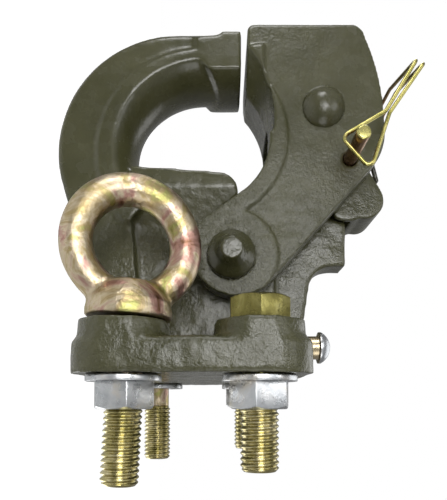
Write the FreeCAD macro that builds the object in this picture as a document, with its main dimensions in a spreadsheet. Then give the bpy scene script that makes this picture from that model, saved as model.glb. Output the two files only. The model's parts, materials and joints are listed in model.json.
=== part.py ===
# Pintle hitch, built as a parametric document, in millimetres.
# Frame: +Z up and +X towards the vehicle, as mounted. The mounting face is the plane X = 0,
# and the origin is the centre of the four studs. "out" is the distance behind the mounting
# face (-X), "up" is the height (Z) and "side" is Y. Positive side is the left-hand side.
import FreeCAD, Part
import math
import os
import Sketcher

Vector = FreeCAD.Vector
Placement = FreeCAD.Placement
Rotation = FreeCAD.Rotation

# Driving dimensions: alias, value, what it is
DRIVING = [
    ("stud_gap_up", 44.45, "stud spacing, vertical"),
    ("stud_gap_side", 85.7, "stud spacing, horizontal"),
    ("stud_radius", 6.35, "thread of the studs, outer radius"),
    ("shank_radius", 5.7, "plain shank of the studs"),
    ("stud_hole_radius", 6.8, "holes for the studs in the flange"),
    ("thread_start", 11.0, "where the free thread of each stud begins, past the mounting face"),
    ("eye_stud_reach", 36.2, "eye bolt tip, past the mounting face"),
    ("hex_stud_reach", 31.2, "hex bolt tip, past the mounting face"),
    ("flange_thick", 12.0, "flange plate"),
    ("flange_low", 39.0, "flange edge below the studs' centre"),
    ("flange_high", 40.0, "flange edge above the studs' centre"),
    ("flange_side", 57.5, "half width of the flange"),
    ("flange_corner", 13.0, "corner radius of the flange"),
    ("flange_edge", 2.5, "rounding of the flange's rear edge"),
    ("boss_out", 18.0, "seat of the bolt heads, behind the mounting face"),
    ("boss_foot", 16.6, "radius of a boss at the flange"),
    ("boss_top", 15.0, "radius of a boss at its seat"),
    ("throat_up", 2.5, "centre of the throat"),
    ("throat_out", 90.5, "centre of the throat"),
    ("throat_radius", 27.4, "throat at mid width"),
    ("saddle_rise", 7.1, "how far the horn's inner surface falls away at its sides"),
    ("horn_half", 15.5, "half width of the horn"),
    ("horn_step", 1.0, "step between the horn's outer band and its raised inner band"),
    ("band_up", 1.9, "centre of the raised band's edge"),
    ("band_out", 88.5, "centre of the raised band's edge"),
    ("band_radius", 40.7, "raised band's edge"),
    ("horn_up", -7.5, "centre of the horn's outer curve"),
    ("horn_out", 89.0, "centre of the horn's outer curve"),
    ("horn_radius", 47.0, "horn's outer curve"),
    ("neck_lean", 15.5, "lean of the neck's lower edge, degrees"),
    ("horn_edge", 2.2, "rounding of the horn's outer edges"),
    ("rim_wide", 13.0, "rim along the neck's lower edge"),
    ("tip_up", 17.5, "end of the horn's tip"),
    ("tip_low", 116.2, "inner side of the tip"),
    ("tip_top", 136.2, "outer side of the tip"),
    ("tip_lug", 8.8, "where the tip's lug begins"),
    ("tip_rise", 4.4, "how far the tip's inner surface falls away at its sides"),
    ("shelf_start", -26.0, "lower end of the throat shelf"),
    ("shelf_end", 16.3, "upper end of the throat shelf"),
    ("shelf_out", 80.8, "face of the throat shelf"),
    ("shelf_nose", 8.0, "rounding of the shelf's free end"),
    ("shelf_lip", 6.0, "depth of the shelf's straight lip"),
    ("shelf_root", 61.0, "where the shelf meets the web"),
    ("web_half", 11.0, "half thickness of the neck's web"),
    ("rib_half", 7.0, "half thickness of the catch rib"),
    ("rib_hollow", 9.4, "radius of the hollow under the rib's end"),
    ("rib_end", 60.0, "end of the catch rib"),
    ("rib_top", 64.0, "catch edge of the rib"),
    ("rib_step", 45.8, "underside of the rib's end"),
    ("rib_foot", 43.1, "foot of the rib"),
    ("pivot_up", 13.4, "jaw pivot"),
    ("pivot_out", 45.7, "jaw pivot"),
    ("pivot_radius", 8.0, "shaft of the jaw pivot"),
    ("running_gap", 0.05, "radial clearance of the hinges"),
    ("hub_radius", 17.5, "round end of the jaw's cheeks"),
    ("swing_gap", 1.0, "room round the cheeks in the body"),
    ("jaw_half", 22.0, "half width of the jaw"),
    ("jaw_rim", 1.0, "how far the jaw's rim and hub stand out"),
    ("cheek_gap", 0.5, "clearance between the cheeks and the web"),
    ("jaw_throat", 25.2, "jaw's throat side, radius about the throat centre"),
    ("jaw_rim_wide", 6.8, "width of the jaw's rim along the throat"),
    ("nose_up", 19.4, "face of the jaw opposite the tip"),
    ("nose_top", 134.0, "outer face of the jaw"),
    ("nose_round", 2.6, "corner of the nose"),
    ("nose_floor", 98.0, "lower end of the solid nose"),
    ("nose_back", 38.0, "upper end of the solid nose"),
    ("roof_out", 119.0, "inner side of the jaw's outer wall"),
    ("nose_low", 113.4, "lower end of the nose's face"),
    ("nose_curve", 31.2, "throat side of the nose, radius"),
    ("flare_start", 8.0, "where the nose's flare begins, from mid width"),
    ("flare_up", 28.9, "flare of the nose at the jaw's side, next to the throat's centre"),
    ("flare_out", 126.5, "flare of the nose at the jaw's side, outer end"),
    ("flare_curve", 39.0, "flare of the nose at the jaw's side, radius"),
    ("back_up", 70.9, "back edge of the jaw"),
    ("back_out", 97.0, "widest point of the jaw's back edge"),
    ("back_corner", 61.0, "outer corner of the jaw's back edge"),
    ("heel_up", 64.4, "heel of the jaw"),
    ("heel_out", 77.0, "heel of the jaw"),
    ("latch_up", 48.0, "latch pivot"),
    ("latch_out", 102.0, "latch pivot"),
    ("latch_pin_radius", 5.0, "shaft of the latch pivot"),
    ("latch_hub", 8.5, "hub of the latch"),
    ("latch_half", 10.3, "half width of the latch"),
    ("hub_half", 4.5, "half width of the latch's hub between the spring coils"),
    ("spring_room", 11.0, "radius of the spring's room beside the hub"),
    ("lobe_up", 66.9, "thumb lobe of the latch"),
    ("lobe_out", 71.3, "thumb lobe of the latch"),
    ("lobe_radius", 7.3, "thumb lobe of the latch"),
    ("toe_gap", 1.1, "clearance between the latch's toe walls and the rib"),
    ("toe_low", 63.2, "lower end of the toe walls"),
    ("dome_radius", 8.3, "rivet head of the latch pivot"),
    ("dome_high", 5.0, "rivet head of the latch pivot"),
    ("rod_up", 57.9, "safety pin"),
    ("rod_out", 82.3, "safety pin"),
    ("rod_radius", 2.5, "safety pin"),
    ("rod_reach", 41.0, "half length of the safety pin"),
    ("rod_slot", 1.8, "clearance of the safety pin in the latch's notch"),
    ("notch_deep", 12.0, "length of the notch's lead-in"),
    ("notch_flare", 3.6, "how far each side of the lead-in opens"),
    ("rivet_base", 9.3, "jaw pivot head at the cheek"),
    ("rivet_top", 4.0, "jaw pivot head at its end"),
    ("rivet_high", 10.0, "jaw pivot head"),
    ("wire_radius", 0.7, "wire of the clip"),
    ("clip_bend", 2.0, "bends of the clip"),
    ("clip_inset", 5.0, "clip's loops from the ends of the safety pin"),
    ("clip_flat", 8.0, "half length of the clip's straight tops"),
    ("clip_over", 6.6, "clip's strands past the jaw's back edge"),
    ("spring_wire", 0.9, "wire of the latch spring, radius"),
    ("spring_mean", 7.0, "latch spring, mean radius"),
    ("spring_turns", 2.9, "turns of each coil of the latch spring"),
    ("knee_reach", 17.7, "bend of the spring's legs, along the latch from its pivot"),
    ("knee_rise", 5.2, "bend of the spring's legs, above the latch's edge"),
    ("leg_reach", 31.0, "end of the spring's legs, along the latch from its pivot"),
    ("leg_gap", 0.6, "clearance between the spring's legs and the latch"),
    ("collar_radius", 14.25, "collar of an eye bolt"),
    ("collar_high", 3.2, "straight part of the collar"),
    ("eye_out", 42.8, "centre of the eye ring"),
    ("eye_mean", 18.1, "eye ring, mean radius"),
    ("eye_bar", 5.45, "eye ring, bar radius"),
    ("eye_turn", 19.0, "turn of the right-hand eye about its shank, degrees"),
    ("head_flats", 19.05, "hex head across flats"),
    ("head_high", 7.6, "hex head"),
    ("nut_flats", 18.3, "nut across flats"),
    ("nut_thick", 9.0, "nut"),
    ("washer_radius", 12.4, "washer"),
    ("washer_thick", 2.0, "washer"),
    ("screw_out", 9.5, "side screw, place in the flange's edge"),
    ("screw_side", -38.5, "side screw, place along the flange"),
    ("screw_neck", 3.9, "side screw, threaded neck"),
    ("screw_head", 5.3, "side screw, head"),
    ("screw_stand", 2.2, "side screw, neck showing above the edge"),
    ("screw_dome", 4.0, "side screw, height of the head"),
    ("screw_depth", 7.5, "side screw, depth in the flange"),
]

doc = FreeCAD.newDocument("pintle_hitch")
sheet = doc.addObject("Spreadsheet::Sheet", "sizes")
for row, (alias, value, meaning) in enumerate(DRIVING, start=1):
    sheet.set(f"A{row}", meaning)
    sheet.set(f"B{row}", str(value))
    sheet.setAlias(f"B{row}", alias)
doc.recompute()


class Size:
    """A length with its value and the expression over the sheet that gives it."""

    def __init__(self, value, text):
        self.value = value
        self.text = text

    def __add__(self, other):
        other = as_size(other)
        return Size(self.value + other.value, f"({self.text} + {other.text})")

    def __sub__(self, other):
        other = as_size(other)
        return Size(self.value - other.value, f"({self.text} - {other.text})")

    def __mul__(self, other):
        other = as_size(other)
        return Size(self.value * other.value, f"({self.text} * {other.text})")

    def __truediv__(self, other):
        other = as_size(other)
        return Size(self.value / other.value, f"({self.text} / {other.text})")

    def __radd__(self, other):
        return as_size(other) + self

    def __rsub__(self, other):
        return as_size(other) - self

    def __rmul__(self, other):
        return as_size(other) * self

    def __neg__(self):
        return Size(-self.value, f"(0 - {self.text})")


def as_size(number):
    return number if isinstance(number, Size) else Size(float(number), repr(float(number)))


def root(size):
    return Size(math.sqrt(size.value), f"sqrt({size.text})")


def cosine(size):
    return Size(math.cos(math.radians(size.value)), f"cos({size.text})")


def sine(size):
    return Size(math.sin(math.radians(size.value)), f"sin({size.text})")


class Sheet:
    """Gives each driving dimension by its alias."""

    def __getattr__(self, alias):
        return Size(float(sheet.get(alias)), f"sizes.{alias}")


S = Sheet()

# Sketch planes: a name, the two local axes and the normal
SIDE = ("XZ_Plane", 90, Rotation(Vector(0, 0, 1), Vector(-1, 0, 0), Vector(0, -1, 0), "ZXY"))
FACE = ("YZ_Plane", 0, Rotation(Vector(0, 1, 0), Vector(0, 0, 1), Vector(1, 0, 0), "ZXY"))
LEVEL = ("XY_Plane", 90, Rotation(Vector(0, 1, 0), Vector(-1, 0, 0), Vector(0, 0, 1), "ZXY"))


def bind(thing, prop, size):
    """Tie a property to the sheet."""
    thing.setExpression(prop, as_size(size).text)


def place(thing, out=0, side=0, up=0, rotation=None):
    """Move a finished object, with its place tied to the sheet."""
    if rotation is not None:
        thing.Placement = Placement(thing.Placement.Base, rotation)
    bind(thing, "Placement.Base.x", -as_size(out))
    bind(thing, "Placement.Base.y", as_size(side))
    bind(thing, "Placement.Base.z", as_size(up))
    return thing


def new_sketch(name, plane, body=None):
    """An empty sketch on one of the three planes, in a body or by itself."""
    role, turn, rotation = plane
    if body is None:
        sketch = doc.addObject("Sketcher::SketchObject", name)
        sketch.Placement = Placement(Vector(), rotation)
        return sketch
    sketch = body.newObject("Sketcher::SketchObject", name)
    origin_plane = next(f for f in body.Origin.OriginFeatures if f.Role == role)
    sketch.AttachmentSupport = [(origin_plane, "")]
    sketch.MapMode = "FlatFace"
    sketch.AttachmentOffset = Placement(Vector(), Rotation(Vector(0, 0, 1), turn))
    return sketch


def hold_point(sketch, geometry, end, point):
    """Tie one end of a sketch element to a place given by sizes."""
    for kind, size in (("DistanceX", point[0]), ("DistanceY", point[1])):
        size = as_size(size)
        number = sketch.addConstraint(Sketcher.Constraint(kind, -1, 1, geometry, end, size.value))
        sketch.setExpression(f"Constraints[{number}]", size.text)


def hold_radius(sketch, geometry, radius):
    radius = as_size(radius)
    number = sketch.addConstraint(Sketcher.Constraint("Radius", geometry, radius.value))
    sketch.setExpression(f"Constraints[{number}]", radius.text)


def outline(sketch, corners, arcs=None):
    """A closed outline. arcs maps a side to (radius, turn): turn is 1 for an arc whose
    centre lies to the left of the way from its first corner to the next, and -1 for right."""
    arcs = arcs or {}
    spots = [Vector(as_size(x).value, as_size(y).value) for x, y in corners]
    count = len(corners)
    for side in range(count):
        start, end = spots[side], spots[(side + 1) % count]
        if side not in arcs:
            number = sketch.addGeometry(Part.LineSegment(start, end))
            hold_point(sketch, number, 1, corners[side])
            hold_point(sketch, number, 2, corners[(side + 1) % count])
            continue
        radius, turn = arcs[side]
        r = as_size(radius).value
        chord = end - start
        middle = (start + end) * 0.5
        left = Vector(-chord.y, chord.x) / chord.Length
        centre = middle + left * (turn * math.sqrt(max(r * r - chord.Length ** 2 / 4, 0)))
        first, last = (start, end) if turn > 0 else (end, start)
        begin = math.atan2(first.y - centre.y, first.x - centre.x)
        finish = math.atan2(last.y - centre.y, last.x - centre.x)
        if finish < begin:
            finish += 2 * math.pi
        circle = Part.Circle(centre, Vector(0, 0, 1), r)
        number = sketch.addGeometry(Part.ArcOfCircle(circle, begin, finish))
        hold_point(sketch, number, 1 if turn > 0 else 2, corners[side])
        hold_point(sketch, number, 2 if turn > 0 else 1, corners[(side + 1) % count])
        hold_radius(sketch, number, radius)
    return sketch


def round_spot(sketch, centre, radius):
    """A full circle."""
    middle = Vector(as_size(centre[0]).value, as_size(centre[1]).value)
    circle = Part.Circle(middle, Vector(0, 0, 1), as_size(radius).value)
    number = sketch.addGeometry(circle)
    hold_point(sketch, number, 3, centre)
    hold_radius(sketch, number, radius)
    return sketch


def slab(name, sketch, half):
    """A sketch given the same thickness on both sides of its plane."""
    solid = doc.addObject("Part::Extrusion", name)
    solid.Base = sketch
    solid.DirMode = "Normal"
    solid.Solid = True
    solid.Symmetric = True
    bind(solid, "LengthFwd", 2 * as_size(half))
    return solid


def layer(name, sketch, start, end):
    """A sketch given thickness from start to end along its plane's normal."""
    solid = doc.addObject("Part::Extrusion", name)
    solid.Base = sketch
    solid.DirMode = "Normal"
    solid.Solid = True
    bind(solid, "LengthFwd", end)
    bind(solid, "LengthRev", -as_size(start))
    return solid


def turned(name, sketch, axis, out=0, up=0):
    """A sketch turned a full circle about an axis."""
    solid = doc.addObject("Part::Revolution", name)
    solid.Source = sketch
    solid.Axis = axis
    solid.Angle = 360
    solid.Solid = True
    bind(solid, "Base.x", -as_size(out))
    bind(solid, "Base.z", as_size(up))
    return solid


def cross_bar(name, radius, half, out, up):
    """A cylinder across the part, about an axis parallel to Y."""
    bar = doc.addObject("Part::Cylinder", name)
    bind(bar, "Radius", radius)
    bind(bar, "Height", 2 * as_size(half))
    return place(bar, out, as_size(half), up, Rotation(Vector(1, 0, 0), 90))


def joined(name, *things):
    result = doc.addObject("Part::MultiFuse", name)
    result.Shapes = list(things)
    result.Refine = True
    return result


def cut(name, base, *tools):
    result = doc.addObject("Part::Cut", name)
    result.Base = base
    result.Tool = tools[0] if len(tools) == 1 else joined(name + "_tools", *tools)
    result.Refine = True
    return result


def common(name, *things):
    result = doc.addObject("Part::MultiCommon", name)
    result.Shapes = list(things)
    result.Refine = True
    return result


def rounded(name, base, radius, wanted):
    """A fillet on the edges that a test picks."""
    doc.recompute()
    chosen = [i for i, edge in enumerate(base.Shape.Edges, start=1) if wanted(edge)]
    if not chosen:
        raise ValueError(f"{name}: no edge to round")
    result = doc.addObject("Part::Fillet", name)
    result.Base = base
    result.Edges = [(i, radius.value, radius.value) for i in chosen]
    return result


def middle_of(edge):
    box = edge.BoundBox
    return Vector((box.XMin + box.XMax) / 2, (box.YMin + box.YMax) / 2, (box.ZMin + box.ZMax) / 2)


def flat_in(edge, axis, at):
    """True for an edge that lies in the plane where this axis is at this value."""
    low, high = (
        (edge.BoundBox.XMin, edge.BoundBox.XMax),
        (edge.BoundBox.YMin, edge.BoundBox.YMax),
        (edge.BoundBox.ZMin, edge.BoundBox.ZMax),
    )[axis]
    return abs(low - at) < 0.01 and abs(high - at) < 0.01


def studs():
    """Side and up of each stud: the right-hand pair first, lower before upper."""
    half_side, half_up = S.stud_gap_side / 2, S.stud_gap_up / 2
    return {
        "right_lower": (-half_side, -half_up),
        "right_upper": (-half_side, half_up),
        "left_lower": (half_side, -half_up),
        "left_upper": (half_side, half_up),
    }


# Outlines that several pieces share


def flange_outline(name):
    low, high, side, corner = -S.flange_low, S.flange_high, S.flange_side, S.flange_corner
    sketch = new_sketch(name, FACE)
    corners = [
        (-side + corner, low),
        (side - corner, low),
        (side, low + corner),
        (side, high - corner),
        (side - corner, high),
        (-side + corner, high),
        (-side, high - corner),
        (-side, low + corner),
    ]
    return outline(sketch, corners, {1: (corner, 1), 3: (corner, 1), 5: (corner, 1), 7: (corner, 1)})


def crowned_section(sketch, base, radius, rise, half, spare):
    """From base outwards, ending in a crown: radius at mid width, and more by rise at half."""
    curve = (half * half + rise * rise) / (2 * rise)
    reach = half + spare
    edge = base + radius + rise
    corners = [(-reach, base), (reach, base), (reach, edge), (half, edge), (-half, edge), (-reach, edge)]
    return outline(sketch, corners, {3: (curve, -1)})


def crowned_cutter(name, radius, rise, half, spare):
    """A turned cutter for a throat: smallest at mid width, wider by rise at half."""
    sketch = crowned_section(new_sketch(name + "_section", FACE), S.throat_up, radius, rise, half, spare)
    place(sketch, out=S.throat_out)
    return turned(name, sketch, Vector(0, 1, 0), out=S.throat_out, up=S.throat_up)


def straight_cutter(name, radius, rise, half, spare, start, end):
    """The same section, carried straight along the horn's arm."""
    sketch = crowned_section(new_sketch(name + "_section", LEVEL), S.throat_out, radius, rise, half, spare)
    return layer(name, sketch, start, end)


# Hook body


def flange():
    plate = layer("flange_plate", flange_outline("flange_shape"), -S.flange_thick, 0)
    rear_edge = -S.flange_thick.value
    plate = rounded("flange_rounded", plate, S.flange_edge, lambda e: flat_in(e, 0, rear_edge))
    bosses = []
    for name, (side, up) in studs().items():
        boss = doc.addObject("Part::Cone", f"boss_{name}")
        bind(boss, "Radius1", S.boss_foot)
        bind(boss, "Radius2", S.boss_top)
        bind(boss, "Height", S.boss_out)
        place(boss, 0, side, up, Rotation(Vector(0, 1, 0), -90))
        bosses.append(boss)
    limit = layer("boss_limit", flange_outline("boss_limit_shape"), -S.boss_out, 0)
    bosses = common("bosses", joined("boss_cones", *bosses), limit)
    return joined("flange", plate, bosses)


def neck_line(out):
    """Up of the neck's lower edge at a given out."""
    start_up = S.horn_up - S.horn_radius * cosine(S.neck_lean)
    start_out = S.horn_out - S.horn_radius * sine(S.neck_lean)
    lean = sine(S.neck_lean) / cosine(S.neck_lean)
    return start_up + (start_out - out) * lean


def horn():
    root_out = S.flange_thick / 2
    lean_out = S.horn_out - S.horn_radius * sine(S.neck_lean)
    top_out = S.horn_out + S.horn_radius
    corners = [
        (S.tip_lug, S.tip_low + S.saddle_rise),
        (S.tip_lug, top_out),
        (S.horn_up, top_out),
        (neck_line(lean_out), lean_out),
        (neck_line(root_out), root_out),
        (neck_line(root_out) + S.rim_wide, root_out),
        (S.shelf_start + 1, S.shelf_root + 1),
        (S.throat_up, S.throat_out),
    ]
    sketch = outline(new_sketch("horn_shape", SIDE), corners, {2: (S.horn_radius, 1)})
    outer_half = S.horn_half - S.horn_step
    arm = slab("horn_outer", sketch, outer_half)
    neck_out = S.neck_lean.value

    def outer_edge(edge):
        spot = middle_of(edge)
        on_side = flat_in(edge, 1, outer_half.value) or flat_in(edge, 1, -outer_half.value)
        above = edge.BoundBox.XMax < -top_out.value + 0.01
        curved = edge.Curve.TypeId == "Part::GeomCircle"
        lower = spot.z < neck_line(root_out).value - neck_out / 2 and spot.x < -root_out.value
        return on_side and (above or curved or lower)

    arm = rounded("horn_edges", arm, S.horn_edge, outer_edge)
    band_sketch = round_spot(new_sketch("band_shape", SIDE), (S.band_up, S.band_out), S.band_radius)
    band = slab("band_round", band_sketch, S.horn_half)
    limit_sketch = new_sketch("band_limit_shape", SIDE)
    far = S.band_radius + S.horn_half
    limit_corners = [
        (S.band_up - far, S.shelf_root),
        (S.tip_lug, S.shelf_root),
        (S.tip_lug, S.band_out + far),
        (S.band_up - far, S.band_out + far),
    ]
    band_limit = slab("band_limit", outline(limit_sketch, limit_corners), S.horn_half)
    inner = common("band_inner", band, band_limit, slab("horn_again", sketch, S.horn_half))
    arm = joined("horn_arm", arm, inner)
    spare = S.horn_step + 1
    round_cut = crowned_cutter("throat_round", S.throat_radius, S.saddle_rise, S.horn_half, spare)
    straight = straight_cutter(
        "throat_straight", S.throat_radius, S.saddle_rise, S.horn_half, spare, S.throat_up, S.tip_up + 5
    )
    return cut("horn", arm, round_cut, straight)


def tip_lug():
    """The block at the horn's tip, crowned on its inner side."""
    top_out = S.horn_out + S.horn_radius
    start = S.tip_lug - S.saddle_rise - 2
    corners = [
        (start, S.tip_low + S.saddle_rise + 3),
        (S.tip_lug + 0.7, S.tip_low),
        (S.tip_up, S.tip_low),
        (S.tip_up, S.tip_top),
        (S.tip_lug + 1.2, S.tip_top),
        (S.tip_lug, top_out - S.horn_step),
        (start, top_out - S.horn_edge),
    ]
    block = slab("tip_block", outline(new_sketch("tip_shape", SIDE), corners), S.horn_half)
    radius = S.tip_low + 0.8 - S.throat_out
    edge = as_size(1)
    crown = straight_cutter("tip_crown", radius, S.tip_rise, S.horn_half, edge, start - 1, S.tip_up + 1)
    return cut("tip_lug", block, crown)


def shelf():
    """The throat's floor: a lipped ledge whose underside slopes back to the web."""
    nose = S.shelf_nose
    corners = [
        (S.shelf_start, S.shelf_root),
        (S.shelf_end, S.shelf_root),
        (S.shelf_end, S.shelf_out - nose),
        (S.shelf_end - nose, S.shelf_out),
        (S.shelf_start + 5, S.shelf_out + 2),
        (S.shelf_start, S.shelf_out + 2),
    ]
    side_view = outline(new_sketch("shelf_shape", SIDE), corners, {2: (nose, 1)})
    long_way = slab("shelf_long", side_view, S.horn_half)
    lip = S.shelf_out - S.shelf_lip
    section = [
        (-S.web_half, S.shelf_root),
        (S.web_half, S.shelf_root),
        (S.horn_half, lip),
        (S.horn_half, S.shelf_out + 3),
        (-S.horn_half, S.shelf_out + 3),
        (-S.horn_half, lip),
    ]
    cross_view = outline(new_sketch("shelf_section", LEVEL), section)
    across = layer("shelf_across", cross_view, S.shelf_start, S.shelf_end)
    return common("shelf", long_way, across)


def web():
    """The neck's web with the hinge hub, between the cheeks."""
    root_out = S.flange_thick / 2
    corners = [
        (neck_line(root_out) + 2, root_out),
        (S.pivot_up + S.hub_radius, root_out),
        (S.pivot_up + S.hub_radius, S.pivot_out),
        (S.shelf_end - 1, S.shelf_out - S.shelf_nose),
        (S.shelf_start, S.shelf_out - S.shelf_nose),
        (neck_line(S.shelf_root) + 2, S.shelf_root),
    ]
    return slab("web", outline(new_sketch("web_shape", SIDE), corners), S.web_half)


def rib():
    """The catch rib behind the jaw, with its hollowed foot."""
    hollow = S.rib_hollow
    corners = [
        (S.pivot_up, S.pivot_out),
        (S.pivot_up + 5, S.rib_top - 2),
        (S.rib_end - 8, S.rib_top + 2),
        (S.rib_end, S.rib_top),
        (S.rib_end, S.rib_step),
        (S.rib_foot + 2 + hollow, S.rib_step),
        (S.rib_foot + 2, S.rib_step - hollow),
        (S.rib_foot, S.flange_thick * 2),
        (S.flange_high - 3, S.flange_thick - 2),
        (S.pivot_up, S.flange_thick / 2),
    ]
    return slab("rib", outline(new_sketch("rib_shape", SIDE), corners, {5: (hollow, 1)}), S.rib_half)


def cheek_room():
    """Room for the cheeks on both sides of the web, through the jaw's whole swing."""
    gap = S.swing_gap
    reach = S.hub_radius + gap
    far = S.rib_end + S.horn_half
    corners = [
        (S.pivot_up - reach * 0.68, S.pivot_out + reach * 0.733),
        (S.pivot_up, S.flange_thick * 2 - 2),
        (S.rib_end, S.flange_thick + 1),
        (far, S.flange_thick + 1),
        (far, S.shelf_out + far),
        (S.nose_up, S.shelf_out - S.shelf_nose + 1),
    ]
    field = outline(new_sketch("cheek_field", SIDE), corners)
    disc = round_spot(new_sketch("cheek_disc", SIDE), (S.pivot_up, S.pivot_out), reach)
    outer = S.jaw_half + S.horn_half
    straight_room = slab("cheek_field_slab", field, outer)
    round_room = slab("cheek_disc_slab", disc, outer)
    room = joined("cheek_field_both", straight_room, round_room)
    keep_corners = [
        (S.pivot_up - far, 0),
        (far * 2, 0),
        (far * 2, S.shelf_out + far * 2),
        (S.pivot_up - far, S.shelf_out + far * 2),
    ]
    keep = slab("cheek_keep", outline(new_sketch("cheek_keep_shape", SIDE), keep_corners), S.web_half)
    return cut("cheek_room", room, keep)


def hook_body():
    upper = joined("hook_upper", horn(), tip_lug(), shelf())
    upper = cut("hook_upper_cleared", upper, cheek_room())
    whole = joined("hook_whole", upper, web(), rib(), flange())
    bore = cross_bar("pivot_bore", S.pivot_radius + S.running_gap, S.horn_half, S.pivot_out, S.pivot_up)
    holes = new_sketch("stud_holes_shape", FACE)
    for side, up in studs().values():
        round_spot(holes, (side, up), S.stud_hole_radius)
    holes = layer("stud_holes", holes, -S.boss_out - 1, 1)
    screw_hole = doc.addObject("Part::Cylinder", "screw_hole")
    bind(screw_hole, "Radius", S.screw_neck + S.running_gap)
    bind(screw_hole, "Height", S.screw_depth + 1)
    place(screw_hole, S.screw_out, S.screw_side, S.flange_high - S.screw_depth)
    return cut("hook_body", whole, bore, holes, screw_hole)


# Jaw


def tangent_heel():
    """Where a line from the heel touches the jaw's round end, on its upper side."""
    rise_up = S.heel_up - S.pivot_up
    rise_out = S.heel_out - S.pivot_out
    reach = rise_up * rise_up + rise_out * rise_out
    along = S.hub_radius * S.hub_radius / reach
    across = S.hub_radius * root(reach - S.hub_radius * S.hub_radius) / reach
    return (
        S.pivot_up + rise_up * along + rise_out * across,
        S.pivot_out + rise_out * along - rise_up * across,
    )


def jaw_outline(name):
    """The jaw's side view, with its hub, throat, nose and back edge."""
    throat_low_up = S.nose_up - 1
    throat_run = throat_low_up - S.throat_up
    throat_rise = root(S.jaw_throat * S.jaw_throat - throat_run * throat_run)
    hub_rise = S.hub_radius * root(as_size(1 - 0.62 ** 2))
    cheek_side = (S.pivot_up - S.hub_radius * 0.62, S.pivot_out + hub_rise)
    round_top = S.nose_top - S.nose_round
    corners = [
        cheek_side,
        tangent_heel(),
        (S.heel_up, S.heel_out),
        (S.back_up, S.back_out),
        (S.back_corner + 3, S.nose_top - 5),
        (S.back_corner - 1, S.nose_top),
        (S.nose_up + S.nose_round, S.nose_top),
        (S.nose_up, round_top),
        (S.nose_up, S.nose_low),
        (S.throat_up + S.jaw_throat, S.throat_out),
        (throat_low_up, S.throat_out - throat_rise),
    ]
    arcs = {
        0: (S.hub_radius, 1),
        2: (S.back_out - S.heel_out + 2, 1),
        3: (S.back_out - 12, 1),
        4: (S.nose_round * 2.4, 1),
        6: (S.nose_round, 1),
        8: (S.nose_curve, -1),
        9: (S.jaw_throat, -1),
    }
    return outline(new_sketch(name, SIDE), corners, arcs)


def nose_flare(name, hand):
    """Cutter that opens the nose's throat side towards one side of the jaw."""
    clear = 10
    start_out = S.throat_out + 2
    face = S.nose_up - S.running_gap * 4
    throat_side = S.throat_up + S.jaw_throat - S.running_gap * 4
    low = S.nose_low - S.running_gap * 10
    sections = []
    for end, side, top_up, far_out, curve in (
        ("inner", S.flare_start, throat_side, low, S.nose_curve + 1),
        ("outer", S.jaw_half + S.jaw_rim + 1, S.flare_up, S.flare_out, S.flare_curve),
    ):
        corners = [
            (face - clear, start_out),
            (top_up, start_out),
            (face, far_out),
            (face - clear, far_out),
        ]
        sketch = outline(new_sketch(f"{name}_{end}", SIDE), corners, {1: (curve, 1)})
        sections.append(place(sketch, side=hand * side))
    loft = doc.addObject("Part::Loft", name)
    loft.Sections = sections
    loft.Solid = True
    loft.Ruled = True
    return loft


def jaw():
    plate = slab("jaw_plate", jaw_outline("jaw_shape"), S.jaw_half + S.jaw_rim)
    full = S.jaw_half + S.jaw_rim
    far = S.nose_top + 10
    rim_radius = S.jaw_throat + S.jaw_rim_wide
    rim_up = S.nose_up + S.jaw_rim_wide - 0.5
    rim_run = rim_up - S.throat_up
    rim_join = S.throat_out + root(rim_radius * rim_radius - rim_run * rim_run)
    wide = S.back_up + 10
    field = [
        (-S.hub_radius, 0),
        (wide, 0),
        (wide, far),
        (0, far),
        (0, S.nose_top - 12),
        (rim_up, S.nose_top - 8),
        (rim_up, rim_join),
        (-S.hub_radius, S.throat_out),
    ]
    hollow = slab("face_field", outline(new_sketch("face_field_shape", SIDE), field), full + 1)
    rim_view = round_spot(new_sketch("rim_disc_shape", SIDE), (S.throat_up, S.throat_out), rim_radius)
    rim_disc = slab("rim_disc", rim_view, full + 2)
    hub_view = round_spot(new_sketch("hub_disc_shape", SIDE), (S.pivot_up, S.pivot_out), S.hub_radius)
    hub_disc = slab("hub_disc", hub_view, full + 2)
    keep_field = [(-wide, -10), (wide * 2, -10), (wide * 2, far * 2), (-wide, far * 2)]
    core = slab("face_core", outline(new_sketch("face_core_shape", SIDE), keep_field), S.jaw_half)
    hollow = cut("face_hollow", hollow, rim_disc, hub_disc, core)
    slot_half = S.web_half + S.cheek_gap
    slot_field = [
        (-S.hub_radius, 0),
        (wide, 0),
        (wide, S.roof_out),
        (S.nose_back, S.roof_out),
        (S.nose_back, S.nose_floor),
        (-S.hub_radius, S.nose_floor),
    ]
    slot = slab("jaw_slot", outline(new_sketch("jaw_slot_shape", SIDE), slot_field), slot_half)
    gap = S.running_gap
    pivot = cross_bar("jaw_bore", S.pivot_radius + gap, full + 1, S.pivot_out, S.pivot_up)
    latch_bore = cross_bar("jaw_latch_bore", S.latch_pin_radius + gap, full + 1, S.latch_out, S.latch_up)
    rod_bore = cross_bar("jaw_rod_bore", S.rod_radius + gap, full + 1, S.rod_out, S.rod_up)
    flares = [nose_flare("flare_right", -1), nose_flare("flare_left", 1)]
    return cut("jaw", plate, hollow, slot, pivot, latch_bore, rod_bore, *flares)


# Pins and the latch


def turned_body(name, corners, arcs=None):
    """A turned piece along Y. Corners are (side, radius)."""
    body = doc.addObject("PartDesign::Body", name)
    sketch = outline(new_sketch(name + "_section", FACE, body), corners, arcs)
    spin = body.newObject("PartDesign::Revolution", name + "_turning")
    spin.Profile = sketch
    spin.ReferenceAxis = (sketch, ["H_Axis"])
    spin.Angle = 360
    return body


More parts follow.
